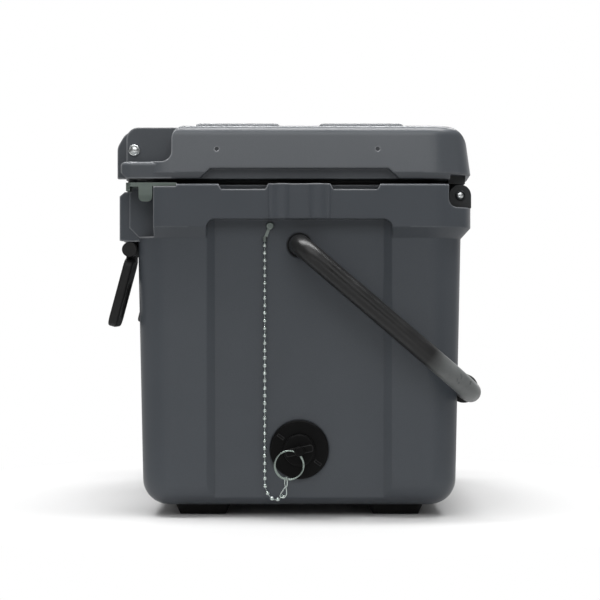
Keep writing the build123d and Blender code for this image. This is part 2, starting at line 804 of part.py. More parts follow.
# Hollow lid with its latch cheeks, guards, flanges and lift recesses
with BuildPart() as lid_shell:
    with BuildSketch(Plane.XY.offset(lid_waist_z)) as lid_outline:
        RectangleRounded(lid_length, lid_depth, lid_corner)
    extrude(amount=lid_top_z - lid_waist_z, taper=lid_draft)
    fillet(lid_shell.faces().sort_by(Axis.Z)[-1].edges(), lid_edge_radius)
    with BuildSketch(across(0)) as lid_back:
        Polygon(
            (-lid_depth, lid_waist_z),
            (lid_depth / 2, lid_waist_z),
            (lid_depth / 2 - (lid_top_z - lid_waist_z) * lid_lean, lid_top_z),
            (-lid_depth, lid_top_z),
            align=None,
        )
        fillet(lid_back.vertices().group_by(Axis.Y)[-1].sort_by(Axis.X)[-1], lid_back_radius)
    extrude(amount=lid_length, both=True, mode=Mode.INTERSECT)
    extrude(
        lid_outline.sketch, amount=-lid_bevel_height,
        taper=math.degrees(math.atan2(lid_bevel, lid_bevel_height)),
    )
    with BuildSketch(Plane.XY.offset(lid_top_z)):
        with Locations((0, (pad_inner + pad_outer) / 2), (0, -(pad_inner + pad_outer) / 2)):
            RectangleRounded(lid_length - 2 * pad_end, pad_outer - pad_inner, pad_radius)
    extrude(amount=pad_height)
    fillet(lid_shell.faces().group_by(Axis.Z)[-1].edges(), pad_edge)
    with BuildSketch(Plane.XY.offset(lid_base_z)):
        RectangleRounded(
            basin_length - 2 * lid_plug_gap, basin_depth - 2 * lid_plug_gap, basin_corner - lid_plug_gap
        )
    extrude(amount=-lid_plug_depth, taper=basin_draft)

    # Latch cheek and guard on either side of each latch, then the notched corner and its flange
    for side in sides:
        with BuildSketch(across(side * cheek_x0)) as cheek:
            with Locations((corner_notch_edge, lid_base_z)):
                Rectangle(
                    corner_notch_edge + half_depth + latch_cheek_front, lid_height,
                    align=(Align.MAX, Align.MIN),
                )
            fillet(cheek.vertices().group_by(Axis.Y)[-1].sort_by(Axis.X)[0], latch_cheek_radius)
        extrude(amount=side * (cheek_x1 - cheek_x0))
        with BuildSketch(across(side * guard_x0)) as guard:
            with Locations((corner_notch_edge, lid_base_z + latch_guard_lift)):
                Rectangle(
                    corner_notch_edge + half_depth + latch_guard_front, lid_height - latch_guard_lift,
                    align=(Align.MAX, Align.MIN),
                )
            with Locations((0, bail_z)):
                Circle(guard_reach, mode=Mode.INTERSECT)
            fillet(guard.vertices().sort_by(Axis.X)[:3].sort_by(Axis.Y)[1:], latch_guard_radius)
        extrude(amount=side * (guard_x1 - guard_x0))
        with BuildSketch(across(side * cheek_x1)) as corner:
            Polygon(
                (-rim_depth, lid_base_z + flange_height),
                (corner_notch_edge, lid_base_z + flange_height),
                (corner_notch_edge, lid_top_z),
                (-pad_outer - pad_edge, lid_top_z),
                (-pad_outer - pad_edge, lid_top_z + lid_height),
                (-rim_depth, lid_top_z + lid_height),
                align=None,
            )
            fillet(corner.vertices().group_by(Axis.X)[1].sort_by(Axis.Y)[0], corner_notch_radius)
            fillet(corner.vertices().group_by(Axis.X)[-2].sort_by(Axis.Y)[-1], corner_block_radius)
        extrude(amount=side * half_length, mode=Mode.SUBTRACT)
        with BuildSketch(across(side * (latch_x - latch_slot_half))):
            with Locations((latch_slot_y, lid_base_z)):
                Rectangle(half_depth, 2 * lid_height, align=(Align.MAX, Align.MIN))
        extrude(amount=side * 2 * latch_slot_half, mode=Mode.SUBTRACT)
    add(lid_flange.part)
    mirror(lid_flange.part, about=Plane.YZ)

    # Finger recess under each end
    for side in sides:
        with BuildSketch(across(side * (half_length - lift_reach))):
            Polygon(
                (-lift_width / 2 - lift_slope, lid_base_z),
                (lift_width / 2 + lift_slope, lid_base_z),
                (lift_width / 2, lid_base_z + lift_height),
                (-lift_width / 2, lid_base_z + lift_height),
                align=None,
            )
        extrude(amount=side * half_length, mode=Mode.SUBTRACT)

    # Foam space, vents, hinge seats, pin and screw holes
    add(lid_foam.part, mode=Mode.SUBTRACT)
    for vent_y in vent_ys:
        vent = facing(lid_length / 2, vent_y, vent_z, (1, 0, 0))
        drill(vent, vent_radius, lid_length / 2 - vent_x0)
    for side in sides:
        with BuildSketch(across(side * hinge_x0)):
            with Locations((leaf_y0, lid_base_z)):
                Rectangle(hinge_leaf_block, hinge_leaf_sink, align=(Align.MIN, Align.MIN))
        extrude(amount=side * half_length, mode=Mode.SUBTRACT)
        for x in hinge_screw_xs:
            leaf_seat = facing(side * x, leaf_screw_y, leaf_top_z, (0, 0, -1))
            drill(leaf_seat, hinge_screw_radius, hinge_screw_grip)
        latch_axis = facing(side * cheek_x1, latch_pin_y, latch_pin_z, (side, 0, 0))
        drill(latch_axis, latch_pin_radius, latch_pin_length)
        lock_axis = facing(side * lock_hole_x, lock_hole_y, lid_base_z, (0, 0, -1))
        drill(lock_axis, lock_hole_radius, flange_height)
save(lid_shell, "lid_shell")

with BuildPart() as lid_vent_plugs:
    for vent_y in vent_ys:
        rod(facing(vent_x0, vent_y, vent_z, (1, 0, 0)), vent_radius, vent_x1 - vent_x0)
save(lid_vent_plugs, "lid_vent_plugs")

with BuildPart() as lid_gasket:
    with BuildSketch(Plane.XY.offset(lid_base_z)):
        RectangleRounded(
            basin_length + 2 * (gasket_inset + gasket_width),
            basin_depth + 2 * (gasket_inset + gasket_width),
            basin_corner + gasket_inset + gasket_corner_ease + gasket_width,
        )
        RectangleRounded(
            basin_length + 2 * gasket_inset,
            basin_depth + 2 * gasket_inset,
            basin_corner + gasket_inset + gasket_corner_ease,
            mode=Mode.SUBTRACT,
        )
    extrude(amount=-(lid_gap - gasket_squeeze))
save(lid_gasket, "lid_gasket")

# Latch pins and rubber latches
with BuildPart() as latch_pin_right:
    screw(
        facing(cheek_x1, latch_pin_y, latch_pin_z, (1, 0, 0)),
        latch_head_radius, latch_head_height, latch_pin_radius, latch_pin_length,
    )
    fillet(latch_pin_right.faces().sort_by(Axis.X)[-1].edges(), latch_head_height / 2)
save(latch_pin_right, "latch_pin_right")
save(mirrored(latch_pin_right), "latch_pin_left")

tilt = math.radians(latch_tab_tilt)
tab_plane = Plane(
    origin=(latch_x, bar_y, bar_z - latch_neck_drop),
    x_dir=(1, 0, 0),
    z_dir=(0, -math.cos(tilt), math.sin(tilt)),
)
with BuildPart() as latch_right:
    with BuildSketch(tab_plane):
        with Locations((0, -latch_tab_length / 2)):
            RectangleRounded(latch_tab_width, latch_tab_length, latch_tab_corner)
        with Locations((0, -latch_hole_drop)):
            RectangleRounded(latch_hole_width, latch_hole_length, latch_hole_corner, mode=Mode.SUBTRACT)
    extrude(amount=latch_tab_thickness / 2, both=True)
    fillet(latch_right.faces().filter_by(tab_plane).edges(), latch_tab_edge)
    with BuildSketch(across(latch_x)):
        with Locations((latch_pin_y, latch_pin_z)):
            Circle(latch_eye_radius)
        Polygon(
            (latch_pin_y, latch_pin_z + latch_eye_radius),
            (strap_y1, latch_pin_z),
            (strap_y0, latch_pin_z - latch_eye_radius),
            (strap_y0, bar_z),
            (heel_y, bar_z),
            (heel_y, heel_z),
            (strap_y1, heel_z),
            (strap_y1, latch_pin_z - latch_strap_taper),
            (latch_pin_y, latch_pin_z - latch_eye_radius),
            align=None,
        )
        Polygon(
            (bar_y + latch_tab_thickness / 2, bar_z),
            (bar_y - latch_tab_thickness / 2, bar_z),
            (bar_y - latch_tab_thickness / 2, bar_z - latch_neck_length),
            (bar_y + latch_tab_thickness / 2, bar_z - latch_neck_length),
            align=None,
        )
    extrude(amount=latch_strap_width / 2, both=True)
    with BuildSketch(across(latch_x)):
        with Locations((bar_y, bar_z)):
            Circle(latch_bar_radius)
    extrude(amount=latch_bar_length / 2, both=True)
    eye = facing(half_length, latch_pin_y, latch_pin_z, (1, 0, 0))
    drill(eye, latch_pin_radius + pin_clearance, half_length)
save(latch_right, "latch_right")
save(mirrored(latch_right), "latch_left")

# Stainless lock plates with a front lip and a bent tongue
with BuildPart() as lock_plate_right:
    with BuildSketch(Plane.XY.offset(plate_base_z)) as plate_outline:
        Polygon(
            (plate_x0, plate_y0),
            (plate_x1, plate_y0),
            (plate_x1, plate_y1),
            (plate_x0, plate_y1),
            align=None,
        )
        fillet(plate_outline.vertices().group_by(Axis.X)[-1].sort_by(Axis.Y)[0], plate_corner)
    extrude(amount=plate_thickness)
    with BuildSketch(Plane.XY.offset(plate_base_z)):
        with Locations((plate_x0, plate_y0)):
            Rectangle(plate_width - plate_corner, plate_lip, align=(Align.MIN, Align.MIN))
    extrude(amount=-plate_lip_drop)
    with BuildSketch(across(plate_x1 - tongue_thickness)) as tongue:
        with Locations((plate_y0 + tongue_from_front, plate_base_z - tongue_drop)):
            Rectangle(tongue_width, tongue_drop, align=(Align.MIN, Align.MIN))
        fillet(tongue.vertices().group_by(Axis.Y)[0], tongue_radius)
    extrude(amount=tongue_thickness)
    drill(facing(lock_hole_x, lock_hole_y, plate_top_z, (0, 0, 1)), lock_hole_radius, rim_top)
    plate_screw = facing(plate_screw_x, plate_screw_y, plate_top_z, (0, 0, 1))
    drill(plate_screw, plate_screw_radius, plate_thickness)
    drill(plate_screw, plate_screw_head_radius, plate_screw_head_height)
save(lock_plate_right, "lock_plate_right")
save(mirrored(lock_plate_right), "lock_plate_left")

with BuildPart() as lock_plate_screws:
    for side in sides:
        seat = facing(side * plate_screw_x, plate_screw_y, plate_top_z - plate_screw_head_height, (0, 0, 1))
        screw(
            seat, plate_screw_head_radius, plate_screw_head_height,
            plate_screw_radius, plate_thickness - plate_screw_head_height + plate_screw_grip,
        )
        socket(seat, plate_screw_head_radius, plate_screw_head_height)
save(lock_plate_screws, "lock_plate_screws")

# Bail handle, its grip and its bushes
with BuildPart() as bail_bushing_right:
    with BuildSketch(across(bushing_floor_x)):
        with Locations((0, bail_z)):
            Circle(bushing_radius)
            Circle(bail_tube_radius + bushing_clearance, mode=Mode.SUBTRACT)
    extrude(amount=bushing_depth + bushing_proud)
save(bail_bushing_right, "bail_bushing_right")
save(mirrored(bail_bushing_right), "bail_bushing_left")

stub_x = bushing_seat_x - bail_engagement
with BuildPart() as bail_tube:
    with BuildLine() as bail_path:
        FilletPolyline(
            (stub_x, 0, bail_z),
            (bail_arm_x, 0, bail_z),
            (bail_arm_x, bail_bar_y, bail_bar_z),
            (-bail_arm_x, bail_bar_y, bail_bar_z),
            (-bail_arm_x, 0, bail_z),
            (-stub_x, 0, bail_z),
            radius=[bail_pivot_bend, bail_elbow_bend, bail_elbow_bend, bail_pivot_bend],
        )
    with BuildSketch(facing(stub_x, 0, bail_z, (1, 0, 0))):
        Circle(bail_tube_radius)
        Circle(bail_tube_radius - bail_tube_wall, mode=Mode.SUBTRACT)
    sweep(path=bail_path.line)
save(bail_tube, "bail_tube")

with BuildPart() as bail_grip:
    with BuildSketch(across(0)):
        with Locations((bail_bar_y, bail_bar_z)):
            Circle(grip_radius)
    extrude(amount=grip_half, both=True)
    fillet(bail_grip.edges(), grip_edge)
    with BuildSketch(across(0)):
        with Locations((bail_bar_y, bail_bar_z)):
            Circle(bail_tube_radius)
    extrude(amount=half_length, both=True, mode=Mode.SUBTRACT)
save(bail_grip, "bail_grip")

# Drain bush with its washer
with BuildPart() as drain_seal:
    with BuildSketch(across(drain_seat_x)):
        with Locations((0, drain_height)):
            Circle(drain_flange_radius - drain_seal_thickness)
            Circle(drain_tube_radius, mode=Mode.SUBTRACT)
    extrude(amount=drain_seal_thickness)
save(drain_seal, "drain_seal")

with BuildPart() as drain_fitting:
    rod(facing(flange_base_x, 0, drain_height, (1, 0, 0)), drain_flange_radius, drain_flange_thickness)
    fillet(drain_fitting.faces().sort_by(Axis.X)[-1].edges(), drain_flange_edge)
    rod(facing(basin_wall_x, 0, drain_height, (1, 0, 0)), drain_tube_radius, flange_base_x - basin_wall_x)
    with BuildSketch(across(flange_top_x)):
        for turn in (drain_rib_angle, drain_rib_angle + 180):
            rib_at = (drain_flange_radius + plug_cap_radius) / 2
            rib_y = rib_at * math.cos(math.radians(turn))
            rib_z = drain_height + rib_at * math.sin(math.radians(turn))
            with Locations(Location((rib_y, rib_z, 0), (0, 0, turn))):
                Rectangle(drain_rib_length, drain_rib_width)
    extrude(amount=drain_rib_height)
    drill(facing(half_length, 0, drain_height, (1, 0, 0)), drain_bore_radius, half_length)
save(drain_fitting, "drain_fitting")

# Drain plug with its grip bar, hollow shank and ring seal
with BuildPart() as drain_plug:
    rod(facing(cap_base_x, 0, drain_height, (1, 0, 0)), plug_cap_radius, plug_cap_thickness)
    fillet(drain_plug.faces().sort_by(Axis.X)[-1].edges(), plug_cap_edge)
    with BuildSketch(across(cap_top_x)):
        with Locations(Location((0, drain_height, 0), (0, 0, plug_bar_tilt))):
            RectangleRounded(plug_bar_length, plug_bar_width, plug_bar_corner)
    extrude(amount=plug_bar_height)
    shank = facing(shank_end_x, 0, drain_height, (1, 0, 0))
    rod(shank, drain_bore_radius - plug_thread_clearance, plug_shank_length)
    front = facing(bar_top_x, 0, drain_height, (1, 0, 0))
    drill(front, swivel_stem_radius + swivel_clearance, bar_top_x - shank_end_x)
    drill(facing(shank_end_x, 0, drain_height, (-1, 0, 0)), plug_hollow_radius, plug_hollow_depth)
save(drain_plug, "drain_plug")

with BuildPart() as plug_seal:
    with BuildSketch(across(flange_top_x + plug_seal_gap)):
        with Locations((0, drain_height)):
            Circle(plug_cap_radius - plug_cap_edge)
            Circle(drain_bore_radius, mode=Mode.SUBTRACT)
    extrude(amount=plug_seal_thickness - plug_seal_gap)
save(plug_seal, "plug_seal")

# Swivel stud that the split ring passes through, so the ring hangs still while the plug turns
hang = math.radians(ring_hang_angle)
hang_y = math.cos(hang)
hang_z = math.sin(hang)
ring_y = (ring_radius + ring_offset) * hang_y
ring_z = drain_height + (ring_radius + ring_offset) * hang_z
with BuildPart() as plug_swivel:
    rod(facing(swivel_base_x, 0, drain_height, (1, 0, 0)), swivel_radius, swivel_height)
    fillet(plug_swivel.faces().sort_by(Axis.X)[-1].edges(), swivel_edge)
    foot_x1 = hollow_floor_x - swivel_clearance
    rod(facing(foot_x1, 0, drain_height, (1, 0, 0)), swivel_stem_radius, swivel_base_x - foot_x1)
    rod(facing(foot_x1, 0, drain_height, (-1, 0, 0)), swivel_foot_radius, swivel_foot_thickness)
    ring_hole = facing(
        ring_x, ring_offset * hang_y - swivel_height * hang_z,
        drain_height + ring_offset * hang_z + swivel_height * hang_y, (0, -hang_z, hang_y),
    )
    drill(ring_hole, ring_hole_radius, 2 * swivel_height)
save(plug_swivel, "plug_swivel")

with BuildPart() as plug_ring:
    with Locations(Plane(origin=(ring_x, ring_y, ring_z), z_dir=(1, 0, 0))):
        Torus(ring_radius, ring_wire_radius)
save(plug_ring, "plug_ring")

# Chain route from the tag under the rim down to the clip on the ring, chosen by hand
chain_points = [
    Vector(208.0, -34.7, 278.0),
    Vector(208.0, -34.7, 27.5),
    Vector(211.5, -29.8, 19.8),
    Vector(216.5, -20.8, 18.9),
    Vector(222.0, -14.0, 24.8),
]


def bend_radii(points):
    """Largest radius that the two runs beside each point allow."""
    radii = []
    for before, here, after in zip(points, points[1:], points[2:]):
        shorter = min((here - before).length, (after - here).length)
        turn = math.radians((here - before).get_angle(after - here))
        radii.append(chain_bend_share * shorter / math.tan(turn / 2))
    return radii


chain_radii = bend_radii(chain_points)
print("chain radii", [round(radius, 1) for radius in chain_radii])

with BuildPart() as ball_chain:
    with BuildLine() as chain_path:
        FilletPolyline(*chain_points, radius=chain_radii)
    with BuildSketch(Plane(origin=chain_points[0], z_dir=chain_points[1] - chain_points[0])):
        Circle(chain_radius)
    sweep(path=chain_path.line)
chain_length = chain_path.wires()[0].length
volume_share = ball_chain.part.volume / (math.pi * chain_radius**2 * chain_length)
print("chain length", round(chain_length, 1), "volume share", round(volume_share, 4))
save(ball_chain, "ball_chain")

# Screw, tag and cup at the chain's upper end
with BuildPart() as chain_tag:
    with BuildSketch(across(chain_seat_x)):
        with Locations((chain_screw_y, chain_screw_z)):
            Circle(chain_tag_radius)
    extrude(amount=chain_tag_thickness)
    cup_start = chain_points[0]
    arm_end_z = cup_start.Z + chain_cup_length / 2
    arm_angle = math.degrees(math.atan2(arm_end_z - chain_screw_z, cup_start.Y - chain_screw_y))
    arm_length = math.hypot(arm_end_z - chain_screw_z, cup_start.Y - chain_screw_y)
    with BuildSketch(across(chain_seat_x + chain_arm_lift)):
        with Locations(Location((chain_screw_y, chain_screw_z, 0), (0, 0, arm_angle))):
            Rectangle(arm_length, chain_tag_arm, align=(Align.MIN, Align.CENTER))
    extrude(amount=chain_tag_thickness - chain_arm_lift)
    rod(facing(cup_start.X, cup_start.Y, cup_start.Z, (0, 0, 1)), chain_cup_radius, chain_cup_length)
    with BuildSketch(across(chain_seat_x + chain_arm_lift)):
        with Locations((cup_start.Y, arm_end_z)):
            Circle(chain_tag_arm / 2)
    extrude(amount=cup_start.X - chain_seat_x - chain_arm_lift)
    drill(facing(half_length, chain_screw_y, chain_screw_z, (1, 0, 0)), chain_screw_radius, half_length)
save(chain_tag, "chain_tag")

with BuildPart() as chain_screw:
    seat = facing(chain_seat_x + chain_tag_thickness, chain_screw_y, chain_screw_z, (1, 0, 0))
    screw(
        seat, chain_screw_head_radius, chain_screw_head_height,
        chain_screw_radius, chain_tag_thickness + chain_screw_grip,
    )
    fillet(chain_screw.faces().sort_by(Axis.X)[-1].edges(), chain_screw_head_height / 2)
    socket(seat, chain_screw_head_radius, chain_screw_head_height)
save(chain_screw, "chain_screw")

# Clip between the ring and the chain's lower end
clip_y = ring_y - clip_shift
ring_wire_z = ring_z - math.sqrt(ring_radius**2 - clip_shift**2)
clip_top_z = ring_wire_z + ring_wire_radius + clip_clearance + clip_wire
chain_end = chain_points[-1]
chain_way = (chain_points[-1] - chain_points[-2]).normalized()
collar_end = chain_end + chain_way * clip_collar_length
with BuildPart() as chain_clip:
    link_middle = (ring_x, clip_y, clip_top_z - clip_length / 2)
    with BuildSketch(Plane(origin=link_middle, x_dir=(0, 0, 1), z_dir=(0, 1, 0))):
        SlotOverall(clip_length, clip_width)
        SlotOverall(clip_length - 2 * clip_wire, clip_width - 2 * clip_wire, mode=Mode.SUBTRACT)
    extrude(amount=clip_wire / 2, both=True)
    rod(Plane(origin=chain_end, z_dir=chain_way), clip_collar_radius, clip_collar_length)
    link_foot = Vector(ring_x, clip_y, clip_top_z - clip_length + clip_wire / 2)
    stem_start = collar_end - chain_way * clip_stem_radius
    stem = link_foot - stem_start
    rod(Plane(origin=stem_start, z_dir=stem), clip_stem_radius, stem.length)
save(chain_clip, "chain_clip")
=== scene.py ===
import math

import bmesh
import bpy
from mathutils import Matrix, Vector


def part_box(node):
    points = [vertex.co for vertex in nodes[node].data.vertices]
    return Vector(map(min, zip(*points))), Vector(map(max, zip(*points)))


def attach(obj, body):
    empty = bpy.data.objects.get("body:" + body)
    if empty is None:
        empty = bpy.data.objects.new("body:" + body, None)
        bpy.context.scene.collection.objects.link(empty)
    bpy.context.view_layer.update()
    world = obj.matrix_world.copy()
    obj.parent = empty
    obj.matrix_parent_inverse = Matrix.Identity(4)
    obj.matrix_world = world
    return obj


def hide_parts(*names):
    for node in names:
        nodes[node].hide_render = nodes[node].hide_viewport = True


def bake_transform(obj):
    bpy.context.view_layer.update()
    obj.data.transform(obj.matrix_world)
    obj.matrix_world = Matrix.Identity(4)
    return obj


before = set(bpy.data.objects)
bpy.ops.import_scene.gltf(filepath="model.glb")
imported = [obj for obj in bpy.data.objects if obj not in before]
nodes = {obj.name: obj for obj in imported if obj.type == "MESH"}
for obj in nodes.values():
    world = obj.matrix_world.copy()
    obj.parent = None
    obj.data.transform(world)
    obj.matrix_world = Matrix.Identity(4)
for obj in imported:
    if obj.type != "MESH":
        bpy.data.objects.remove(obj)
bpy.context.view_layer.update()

MM = 0.001

# Camera: level with the middle of the end wall, square to it
end_plane_x = 0.220
camera_distance = 1.68
camera_y = 0.0007
camera_z = 0.2194
camera_lens = 101.1
camera_sensor = 36.0

# Bead chain: its route, in metres, and its beads
chain_route = [
    (0.2080, -0.0347, 0.2780),
    (0.2080, -0.0347, 0.0440),
    (0.2080, -0.0347, 0.0360),
    (0.2085, -0.0338, 0.0290),
    (0.2110, -0.0296, 0.0218),
    (0.2150, -0.0238, 0.0188),
    (0.2190, -0.0184, 0.0222),
    (0.2220, -0.0140, 0.0248),
]
bead_radius = 2.1 * MM
bead_pitch = 7.55 * MM
bead_first = 3.7 * MM
bead_pin_radius = 0.3 * MM
bead_waist = 0.22 * MM

# Split ring and wire clip at the chain's lower end
ring_wire = 0.65 * MM
ring_flatness = 0.55
ring_spread = 0.4 * MM
ring_turns = 1.85
ring_start = math.radians(95)
clip_wire = 0.5 * MM
link_half = 1.9 * MM
link_turn = math.radians(42)

# Grip on the bail
grip_rib_pitch = 7.0 * MM
grip_rib_depth = 0.8 * MM
grip_plain_end = 12.0 * MM
grip_edge = 3.0 * MM
tube_radius = 10.4 * MM

# Bail: the middle of its swing, and where the painted reflection lies on its coat, by distance from there and
# from the middle plane
bail_pivot = (0.0, 0.0, 0.2745)
bail_sheen_reach = (0.1702, 0.1932)
bail_sheen_aside = (0.165, 0.215)

# Pins: shaft radius and height of the head, and the share of a hinge pin's head left bright; the rest is
# painted dark as shade
latch_pin_size = (3.4 * MM, 2.4 * MM)
hinge_pin_size = (3.2 * MM, 2.0 * MM)
pin_unshaded_share = 0.66

# Moulded edges: where they are left without the painted highlight, as distance from the middle plane and
# height, and the fade there
tub_plain = (0.112, 0.306)
lid_plain = (0.125, 0.356)
plain_fade = 2 * MM

# Floor: half its side, its shade, and the distances over which it fades to white
floor_size = 12.0
floor_shade = 0.62
floor_fade = (0.23, 0.48)

# Light levels
room_fill = 0.42
room_dark_side = 0.06
floor_fill = 0.55


def new_material(name):
    """A material with its tree and its main shader."""
    material = bpy.data.materials.new(name)
    material.use_nodes = True
    tree = material.node_tree
    return material, tree, tree.nodes["Principled BSDF"]


def add_node(tree, kind, values=None, **properties):
    """A shader node with its properties and input values set."""
    node = tree.nodes.new(kind)
    for key, value in properties.items():
        setattr(node, key, value)
    for key, value in (values or {}).items():
        node.inputs[key].default_value = value
    return node


def combine(tree, operation, *sources):
    """The result of a math operation on the values of one or two sockets."""
    node = add_node(tree, "ShaderNodeMath", operation=operation)
    for source, socket in zip(sources, node.inputs):
        tree.links.new(source, socket)
    return node.outputs[0]


def object_axis(tree, axis):
    """One of the object's own coordinates."""
    spot = add_node(tree, "ShaderNodeTexCoord")
    split = add_node(tree, "ShaderNodeSeparateXYZ")
    tree.links.new(spot.outputs["Object"], split.inputs[0])
    return split.outputs[axis]


def noise(tree, scale, detail=3.0, rough=0.5, stretch=None):
    """Noise over the object's own coordinates, stretched if asked."""
    spot = add_node(tree, "ShaderNodeTexCoord")
    source = spot.outputs["Object"]
    if stretch:
        mapping = add_node(tree, "ShaderNodeMapping", {"Scale": stretch})
        tree.links.new(source, mapping.inputs["Vector"])
        source = mapping.outputs["Vector"]
    texture = add_node(tree, "ShaderNodeTexNoise", {"Scale": scale, "Detail": detail, "Roughness": rough})
    tree.links.new(source, texture.inputs["Vector"])
    return texture.outputs["Fac"]


def ramp(tree, source, low, high, from_low=0.3, from_high=0.7):
    """Maps a texture's middle range onto values or colours."""
    if isinstance(low, tuple):
        node = add_node(tree, "ShaderNodeValToRGB")
        node.color_ramp.elements[0].position = from_low
        node.color_ramp.elements[1].position = from_high
        node.color_ramp.elements[0].color = (*low, 1)
        node.color_ramp.elements[1].color = (*high, 1)
        tree.links.new(source, node.inputs["Fac"])
        return node.outputs["Color"]
    node = add_node(
        tree, "ShaderNodeMapRange",
        {"From Min": from_low, "From Max": from_high, "To Min": low, "To Max": high},
    )
    tree.links.new(source, node.inputs["Value"])
    return node.outputs["Result"]


def bump(tree, shader, heights, rounding):
    """Rounds the edges' shading and lays bumps over it; heights are (texture, strength, distance)."""
    edge = add_node(tree, "ShaderNodeBevel", {"Radius": rounding}, samples=6)
    normal = edge.outputs["Normal"]
    for texture, strength, distance in heights:
        node = add_node(tree, "ShaderNodeBump", {"Strength": strength, "Distance": distance})
        tree.links.new(texture, node.inputs["Height"])
        tree.links.new(normal, node.inputs["Normal"])
        normal = node.outputs["Normal"]
    tree.links.new(normal, shader.inputs["Normal"])


def edge_mask(tree, width):
    """Near 1 along outer edges, where the solid is thin below the surface, and 0 elsewhere."""
    depth = add_node(
        tree, "ShaderNodeAmbientOcclusion", {"Distance": width}, samples=8, inside=True, only_local=True
    )
    return ramp(tree, depth.outputs["AO"], 1.0, 0.0, 0.55, 0.92)


def mix_colour(tree, factor, first, second):
    """Blends two colours by a factor."""
    node = add_node(tree, "ShaderNodeMix", data_type="RGBA")
    for socket, value in zip((node.inputs[0], node.inputs[6], node.inputs[7]), (factor, first, second)):
        if isinstance(value, bpy.types.NodeSocket):
            tree.links.new(value, socket)
        else:
            socket.default_value = value if isinstance(value, float) else (*value, 1)
    return node.outputs[2]


def moulded_plastic(
    name, dark, light, highlight_and_fleck_colour, highlight_strength, edge_width, rough, rounding, peel, specular, plain=None,
):
    """Rotomoulded or injected plastic: faint mottling, orange peel, uneven gloss, and outer edges painted
    paler as highlights.

    Edges get no painted highlight within plain[0] of the middle plane and below the height plain[1].
    """
    material, tree, shader = new_material(name)
    shader.inputs["Specular IOR Level"].default_value = specular
    mottle = ramp(tree, noise(tree, 9.0, 5.0, 0.6), dark, light)
    speck = ramp(tree, noise(tree, 1400.0, 2.0), 0.0, 0.04, 0.45, 0.75)
    speckled = mix_colour(tree, speck, mottle, highlight_and_fleck_colour)
    # Painted highlight: outer edges are painted towards the highlight colour, in patches, where rounded edges
    # would catch light; flecks use the same colour
    patchy_highlight = ramp(tree, noise(tree, 60.0, 2.0), 0.7 * highlight_strength, highlight_strength)
    highlight_amount = combine(tree, "MULTIPLY", edge_mask(tree, edge_width), patchy_highlight)
    if plain:
        aside = combine(tree, "ABSOLUTE", object_axis(tree, "Y"))
        beside = ramp(tree, aside, 0.0, 1.0, plain[0] - plain_fade, plain[0])
        above = ramp(tree, object_axis(tree, "Z"), 0.0, 1.0, plain[1] - plain_fade, plain[1])
        highlight_amount = combine(tree, "MULTIPLY", highlight_amount, combine(tree, "MAXIMUM", beside, above))
    colour = mix_colour(tree, highlight_amount, speckled, highlight_and_fleck_colour)
    tree.links.new(colour, shader.inputs["Base Color"])
    gloss = ramp(tree, noise(tree, 26.0, 3.0, 0.5), rough - 0.02, rough + 0.03)
    tree.links.new(gloss, shader.inputs["Roughness"])
    bump(
        tree, shader,
        [(noise(tree, 520.0, 3.0), peel, 0.15 * MM), (noise(tree, 30.0, 2.0), 0.012, 0.6 * MM)],
        rounding,
    )
    return material


def rubber(name, dark, light, rough, rounding):
    """Matt rubber with a pebbled skin and a trace of dust."""
    material, tree, shader = new_material(name)
    dust = ramp(tree, noise(tree, 34.0, 6.0, 0.7), dark, light)
    tree.links.new(dust, shader.inputs["Base Color"])
    tree.links.new(ramp(tree, noise(tree, 90.0, 4.0), rough - 0.08, rough + 0.08), shader.inputs["Roughness"])
    shader.inputs["Specular IOR Level"].default_value = 0.25
    bump(tree, shader, [(noise(tree, 700.0, 3.0), 0.18, 0.2 * MM)], rounding)
    return material


def steel(name, dark, light, rough, rounding, stretch, scratch=0.10):
    """Stainless steel with drawn scratches along one direction."""
    material, tree, shader = new_material(name)
    shader.inputs["Metallic"].default_value = 1.0
    drawn = noise(tree, 60.0, 6.0, 0.7, stretch)
    tree.links.new(ramp(tree, drawn, dark, light), shader.inputs["Base Color"])
    tree.links.new(ramp(tree, drawn, rough - 0.06, rough + 0.08), shader.inputs["Roughness"])
    bump(tree, shader, [(drawn, scratch, 0.05 * MM)], rounding)
    return material


def coated_tube(name, dark, light, rough, sheen_colour):
    """Satin powder coat with fine texture, painted paler at the bail's outer bends as a reflection."""
    material, tree, shader = new_material(name)
    coat = ramp(tree, noise(tree, 22.0, 5.0), dark, light)
    spot = add_node(tree, "ShaderNodeTexCoord")
    from_pivot = {"Location": [-value for value in bail_pivot], "Scale": (0, 1, 1)}
    offset = add_node(tree, "ShaderNodeMapping", from_pivot)
    tree.links.new(spot.outputs["Object"], offset.inputs["Vector"])
    reach = add_node(tree, "ShaderNodeVectorMath", operation="LENGTH")
    tree.links.new(offset.outputs["Vector"], reach.inputs[0])
    aside = combine(tree, "ABSOLUTE", object_axis(tree, "X"))
    # Painted reflection: paler coat on the outer bends, standing in for the white surroundings they would
    # reflect
    bend = combine(
        tree, "MULTIPLY",
        ramp(tree, reach.outputs["Value"], 0.0, 1.0, *bail_sheen_reach),
        ramp(tree, aside, 0.0, 1.0, *bail_sheen_aside),
    )
    painted_sheen = combine(tree, "MULTIPLY", bend, ramp(tree, noise(tree, 80.0, 5.0, 0.7), 0.75, 1.0))
    colour = mix_colour(tree, painted_sheen, coat, sheen_colour)
    tree.links.new(colour, shader.inputs["Base Color"])
    tree.links.new(ramp(tree, noise(tree, 40.0, 5.0), rough - 0.05, rough + 0.07), shader.inputs["Roughness"])
    shader.inputs["Specular IOR Level"].default_value = 0.4
    bump(tree, shader, [(noise(tree, 1100.0, 3.0), 0.10, 0.08 * MM)], 0.5 * MM)
    return material


